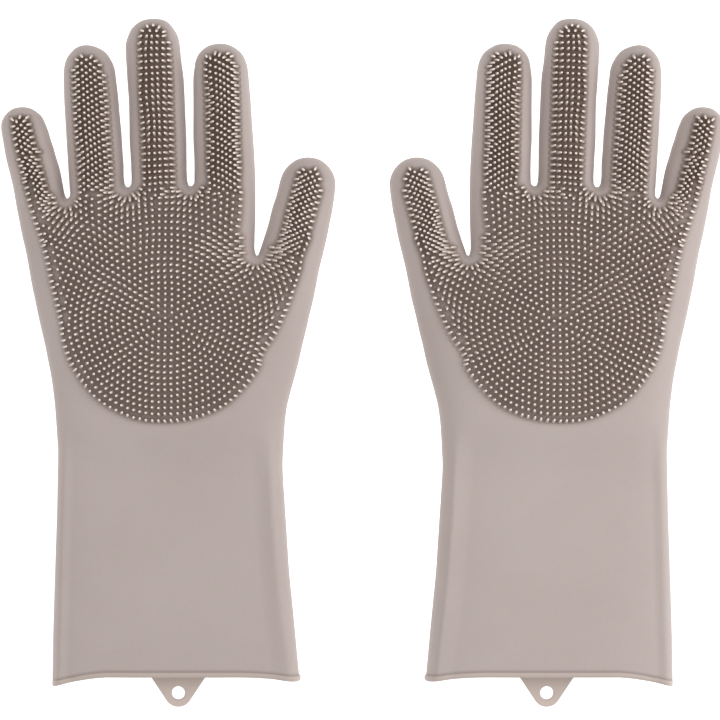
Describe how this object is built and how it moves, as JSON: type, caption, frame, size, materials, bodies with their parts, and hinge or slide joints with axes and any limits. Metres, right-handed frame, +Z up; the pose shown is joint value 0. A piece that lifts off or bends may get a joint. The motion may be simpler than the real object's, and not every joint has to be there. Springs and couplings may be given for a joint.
{
  "type": "grooming glove",
  "caption": "Long-cuffed moulded silicone grooming gloves, left and right, lying palm up, with bristle fields over the palms and fingers and a holed hang tab on the cuff.",
  "frame": {"origin": "centre of the bounding box in X and Y, on the surface that the backs of the gloves lie on", "axes": "+Z up, out of the palms; +Y along the gloves towards the fingertips; +X from the left glove in the view to the right one, X = 0 is the mirror plane between them"},
  "size_m": [0.3656, 0.3529, 0.032],
  "materials": {
    "glove": "matt silicone",
    "bristles": "matt silicone with rounded, slightly shiny tips",
    "rim": "satin silicone"
  },
  "bodies": {
    "left_sleeve": {"left_sleeve": "glove", "left_cuff_rim": "rim"},
    "left_palm": {"left_wrist_flex": "glove", "left_palm_shell": "glove", "left_palm_bristles": "bristles"},
    "left_little_base": {"left_little_base_stall": "glove", "left_little_flex": "glove", "left_little_base_bristles": "bristles"},
    "left_little_tip": {"left_little_tip_stall": "glove", "left_little_tip_bristles": "bristles"},
    "left_ring_base": {"left_ring_base_stall": "glove", "left_ring_flex": "glove", "left_ring_base_bristles": "bristles"},
    "left_ring_tip": {"left_ring_tip_stall": "glove", "left_ring_tip_bristles": "bristles"},
    "left_middle_base": {"left_middle_base_stall": "glove", "left_middle_flex": "glove", "left_middle_base_bristles": "bristles"},
    "left_middle_tip": {"left_middle_tip_stall": "glove", "left_middle_tip_bristles": "bristles"},
    "left_index_base": {"left_index_base_stall": "glove", "left_index_flex": "glove", "left_index_base_bristles": "bristles"},
    "left_index_tip": {"left_index_tip_stall": "glove", "left_index_tip_bristles": "bristles"},
    "left_thumb_base": {"left_thumb_base_stall": "glove", "left_thumb_flex": "glove", "left_thumb_base_bristles": "bristles"},
    "left_thumb_tip": {"left_thumb_tip_stall": "glove", "left_thumb_tip_bristles": "bristles"},
    "right_sleeve": {"right_sleeve": "glove", "right_cuff_rim": "rim"},
    "right_palm": {"right_wrist_flex": "glove", "right_palm_shell": "glove", "right_palm_bristles": "bristles"},
    "right_little_base": {"right_little_base_stall": "glove", "right_little_flex": "glove", "right_little_base_bristles": "bristles"},
    "right_little_tip": {"right_little_tip_stall": "glove", "right_little_tip_bristles": "bristles"},
    "right_ring_base": {"right_ring_base_stall": "glove", "right_ring_flex": "glove", "right_ring_base_bristles": "bristles"},
    "right_ring_tip": {"right_ring_tip_stall": "glove", "right_ring_tip_bristles": "bristles"},
    "right_middle_base": {"right_middle_base_stall": "glove", "right_middle_flex": "glove", "right_middle_base_bristles": "bristles"},
    "right_middle_tip": {"right_middle_tip_stall": "glove", "right_middle_tip_bristles": "bristles"},
    "right_index_base": {"right_index_base_stall": "glove", "right_index_flex": "glove", "right_index_base_bristles": "bristles"},
    "right_index_tip": {"right_index_tip_stall": "glove", "right_index_tip_bristles": "bristles"},
    "right_thumb_base": {"right_thumb_base_stall": "glove", "right_thumb_flex": "glove", "right_thumb_base_bristles": "bristles"},
    "right_thumb_tip": {"right_thumb_tip_stall": "glove", "right_thumb_tip_bristles": "bristles"}
  },
  "joints": [
    {"name": "left_wrist", "type": "hinge", "parent": "left_sleeve", "child": "left_palm", "pos_m": [-0.0977, -0.04345, 0.0122], "axis": [1, 0, 0], "range_deg": [-40, 50], "stiffness_Nm_per_rad": 1.2, "deforming": ["left_wrist_flex"]},
    {"name": "left_little_knuckle", "type": "hinge", "parent": "left_palm", "child": "left_little_base", "pos_m": [-0.16378, 0.08625, 0.00967], "axis": [0.9748, 0.2233, 0], "range_deg": [-10, 55], "stiffness_Nm_per_rad": 0.12, "deforming": ["left_little_flex"]},
    {"name": "left_little_mid", "type": "hinge", "parent": "left_little_base", "child": "left_little_tip", "pos_m": [-0.16815, 0.10536, 0.00967], "axis": [0.9748, 0.2233, 0], "range_deg": [-5, 55], "stiffness_Nm_per_rad": 0.05, "deforming": ["left_little_flex"]},
    {"name": "left_ring_knuckle", "type": "hinge", "parent": "left_palm", "child": "left_ring_base", "pos_m": [-0.13533, 0.09561, 0.01036], "axis": [0.9979, 0.0645, 0], "range_deg": [-10, 55], "stiffness_Nm_per_rad": 0.12, "deforming": ["left_ring_flex"]},
    {"name": "left_ring_mid", "type": "hinge", "parent": "left_ring_base", "child": "left_ring_tip", "pos_m": [-0.13725, 0.12535, 0.01036], "axis": [0.9979, 0.0645, 0], "range_deg": [-5, 55], "stiffness_Nm_per_rad": 0.05, "deforming": ["left_ring_flex"]},
    {"name": "left_middle_knuckle", "type": "hinge", "parent": "left_palm", "child": "left_middle_base", "pos_m": [-0.10412, 0.09604, 0.01037], "axis": [0.9995, 0.0332, 0], "range_deg": [-10, 55], "stiffness_Nm_per_rad": 0.12, "deforming": ["left_middle_flex"]},
    {"name": "left_middle_mid", "type": "hinge", "parent": "left_middle_base", "child": "left_middle_tip", "pos_m": [-0.10524, 0.12982, 0.01037], "axis": [0.9995, 0.0332, 0], "range_deg": [-5, 55], "stiffness_Nm_per_rad": 0.05, "deforming": ["left_middle_flex"]},
    {"name": "left_index_knuckle", "type": "hinge", "parent": "left_palm", "child": "left_index_base", "pos_m": [-0.06991, 0.09592, 0.01071], "axis": [0.9996, 0.0279, 0], "range_deg": [-10, 55], "stiffness_Nm_per_rad": 0.12, "deforming": ["left_index_flex"]},
    {"name": "left_index_mid", "type": "hinge", "parent": "left_index_base", "child": "left_index_tip", "pos_m": [-0.07074, 0.12581, 0.01071], "axis": [0.9996, 0.0279, 0], "range_deg": [-5, 55], "stiffness_Nm_per_rad": 0.05, "deforming": ["left_index_flex"]},
    {"name": "left_thumb_knuckle", "type": "hinge", "parent": "left_palm", "child": "left_thumb_base", "pos_m": [-0.03547, 0.05504, 0.01113], "axis": [0.9755, -0.2198, 0], "range_deg": [-10, 46], "stiffness_Nm_per_rad": 0.12, "deforming": ["left_thumb_flex"]},
    {"name": "left_thumb_mid", "type": "hinge", "parent": "left_thumb_base", "child": "left_thumb_tip", "pos_m": [-0.03107, 0.07455, 0.01113], "axis": [0.9755, -0.2198, 0], "range_deg": [-5, 55], "stiffness_Nm_per_rad": 0.05, "deforming": ["left_thumb_flex"]},
    {"name": "right_wrist", "type": "hinge", "parent": "right_sleeve", "child": "right_palm", "pos_m": [0.0977, -0.04345, 0.0122], "axis": [1, 0, 0], "range_deg": [-40, 50], "stiffness_Nm_per_rad": 1.2, "deforming": ["right_wrist_flex"]},
    {"name": "right_little_knuckle", "type": "hinge", "parent": "right_palm", "child": "right_little_base", "pos_m": [0.16378, 0.08625, 0.00967], "axis": [0.9748, -0.2233, 0], "range_deg": [-10, 55], "stiffness_Nm_per_rad": 0.12, "deforming": ["right_little_flex"]},
    {"name": "right_little_mid", "type": "hinge", "parent": "right_little_base", "child": "right_little_tip", "pos_m": [0.16815, 0.10536, 0.00967], "axis": [0.9748, -0.2233, 0], "range_deg": [-5, 55], "stiffness_Nm_per_rad": 0.05, "deforming": ["right_little_flex"]},
    {"name": "right_ring_knuckle", "type": "hinge", "parent": "right_palm", "child": "right_ring_base", "pos_m": [0.13533, 0.09561, 0.01036], "axis": [0.9979, -0.0645, 0], "range_deg": [-10, 55], "stiffness_Nm_per_rad": 0.12, "deforming": ["right_ring_flex"]},
    {"name": "right_ring_mid", "type": "hinge", "parent": "right_ring_base", "child": "right_ring_tip", "pos_m": [0.13725, 0.12535, 0.01036], "axis": [0.9979, -0.0645, 0], "range_deg": [-5, 55], "stiffness_Nm_per_rad": 0.05, "deforming": ["right_ring_flex"]},
    {"name": "right_middle_knuckle", "type": "hinge", "parent": "right_palm", "child": "right_middle_base", "pos_m": [0.10412, 0.09604, 0.01037], "axis": [0.9995, -0.0332, 0], "range_deg": [-10, 55], "stiffness_Nm_per_rad": 0.12, "deforming": ["right_middle_flex"]},
    {"name": "right_middle_mid", "type": "hinge", "parent": "right_middle_base", "child": "right_middle_tip", "pos_m": [0.10524, 0.12982, 0.01037], "axis": [0.9995, -0.0332, 0], "range_deg": [-5, 55], "stiffness_Nm_per_rad": 0.05, "deforming": ["right_middle_flex"]},
    {"name": "right_index_knuckle", "type": "hinge", "parent": "right_palm", "child": "right_index_base", "pos_m": [0.06991, 0.09592, 0.01071], "axis": [0.9996, -0.0279, 0], "range_deg": [-10, 55], "stiffness_Nm_per_rad": 0.12, "deforming": ["right_index_flex"]},
    {"name": "right_index_mid", "type": "hinge", "parent": "right_index_base", "child": "right_index_tip", "pos_m": [0.07074, 0.12581, 0.01071], "axis": [0.9996, -0.0279, 0], "range_deg": [-5, 55], "stiffness_Nm_per_rad": 0.05, "deforming": ["right_index_flex"]},
    {"name": "right_thumb_knuckle", "type": "hinge", "parent": "right_palm", "child": "right_thumb_base", "pos_m": [0.03547, 0.05504, 0.01113], "axis": [0.9755, 0.2198, 0], "range_deg": [-10, 46], "stiffness_Nm_per_rad": 0.12, "deforming": ["right_thumb_flex"]},
    {"name": "right_thumb_mid", "type": "hinge", "parent": "right_thumb_base", "child": "right_thumb_tip", "pos_m": [0.03107, 0.07455, 0.01113], "axis": [0.9755, 0.2198, 0], "range_deg": [-5, 55], "stiffness_Nm_per_rad": 0.05, "deforming": ["right_thumb_flex"]},
    {"name": "right_glove_lift", "type": "slide", "parent": "left_sleeve", "child": "right_sleeve", "axis": [0, 0, 1], "range_m": [0, 0.15]}
  ]
}
